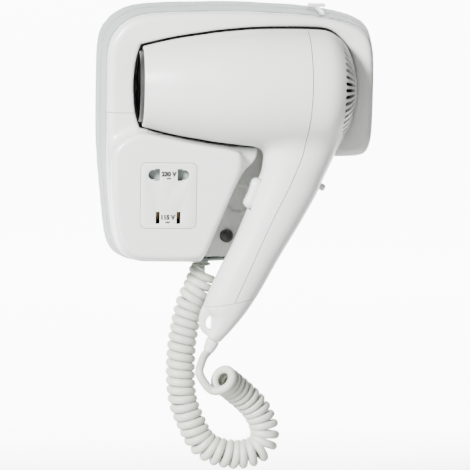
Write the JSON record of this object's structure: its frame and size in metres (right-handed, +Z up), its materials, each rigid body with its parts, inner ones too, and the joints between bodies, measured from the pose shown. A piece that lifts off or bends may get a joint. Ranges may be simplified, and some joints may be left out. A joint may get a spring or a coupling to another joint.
{
  "type": "wall-mounted hair dryer",
  "caption": "Hand-held hair dryer resting in a wall holder that carries a two-voltage shaver socket, joined to it by a curly cord.",
  "frame": {"origin": "middle of the flat back of the holder, on the wall", "axes": "+Y into the wall, +Z up, and the dryer's nozzle points along -X"},
  "size_m": [0.1764, 0.0823, 0.2928],
  "materials": {
    "white_plastic": "smooth satin moulded plastic",
    "grey_plastic": "fine grained moulded plastic",
    "black_plastic": "satin",
    "cord_rubber": "satin",
    "steel": "satin",
    "brass": "satin",
    "copper": "varnished winding wire",
    "mica": "matte insulating board",
    "board": "satin circuit board",
    "dark_core": "satin lacquered laminations"
  },
  "bodies": {
    "holder": {"rear_housing": "grey_plastic", "mounting_plate": "steel", "holder_shell": "white_plastic", "socket_cover": "white_plastic", "shell_screw": "steel", "socket_panel": "white_plastic", "socket_base": "black_plastic", "transformer_core": "dark_core", "transformer_winding": "copper", "transformer_bracket": "steel", "terminal_block": "black_plastic", "plunger_switch": "black_plastic", "cord_grommet": "cord_rubber", "cord_tail_holder": "cord_rubber", "wall_screw_1": "steel", "wall_screw_2": "steel", "wall_screw_3": "steel", "wall_screw_4": "steel", "cover_screw_1": "steel", "contact_high_1": "brass", "contact_low_1": "brass", "rest_pad_1": "black_plastic", "cover_screw_2": "steel", "contact_high_2": "brass", "contact_low_2": "brass", "rest_pad_2": "black_plastic", "terminal_screw_1": "brass", "terminal_screw_2": "brass", "terminal_screw_3": "brass"},
    "dryer": {"front_shell": "white_plastic", "rear_shell": "white_plastic", "end_cap": "white_plastic", "strain_relief": "white_plastic", "handle_screw": "steel", "cord_clamp": "black_plastic", "trigger_switch": "black_plastic", "selector_switch": "black_plastic", "rectifier_board": "board", "outlet_ring": "black_plastic", "outlet_grille": "black_plastic", "heat_shield": "mica", "heater_card": "mica", "heater_coil": "steel", "thermal_cutout": "black_plastic", "thermal_fuse": "steel", "motor_mount": "black_plastic", "motor": "steel", "intake_filter": "black_plastic", "cord_curl": "cord_rubber", "cord_tail_handle": "cord_rubber"},
    "trigger": {"trigger": "white_plastic"},
    "selector": {"selector_knob": "white_plastic"},
    "fan": {"fan": "black_plastic", "motor_shaft": "steel"},
    "plunger": {"plunger": "black_plastic"},
    "latch": {"release_latch": "white_plastic"},
    "shutter": {"pin_shutter": "grey_plastic"}
  },
  "joints": [
    {"name": "dryer_lift_out", "type": "slide", "parent": "holder", "child": "dryer", "axis": [0, -1, 0], "range_m": [0, 0.06]},
    {"name": "fan_spin", "type": "hinge", "parent": "dryer", "child": "fan", "pos_m": [0.0475, -0.046, 0.0286], "axis": [1, 0, 0], "continuous": true},
    {"name": "trigger_press", "type": "slide", "parent": "dryer", "child": "trigger", "axis": [0.9373, 0, -0.3486], "range_m": [0, 0.003], "stiffness_N_per_m": 600, "springref_m": -0.002},
    {"name": "selector_slide", "type": "slide", "parent": "dryer", "child": "selector", "axis": [-0.4352, 0, -0.9003], "range_m": [0, 0.006]},
    {"name": "plunger_press", "type": "slide", "parent": "holder", "child": "plunger", "axis": [0, 1, 0], "range_m": [0, 0.0025], "stiffness_N_per_m": 500, "springref_m": -0.002},
    {"name": "latch_release", "type": "slide", "parent": "holder", "child": "latch", "axis": [0, 0.9921, 0.1254], "range_m": [0, 0.003], "stiffness_N_per_m": 500, "springref_m": -0.002},
    {"name": "shutter_slide", "type": "slide", "parent": "holder", "child": "shutter", "axis": [0, 0, -1], "range_m": [0, 0.007], "stiffness_N_per_m": 100, "springref_m": -0.004}
  ]
}
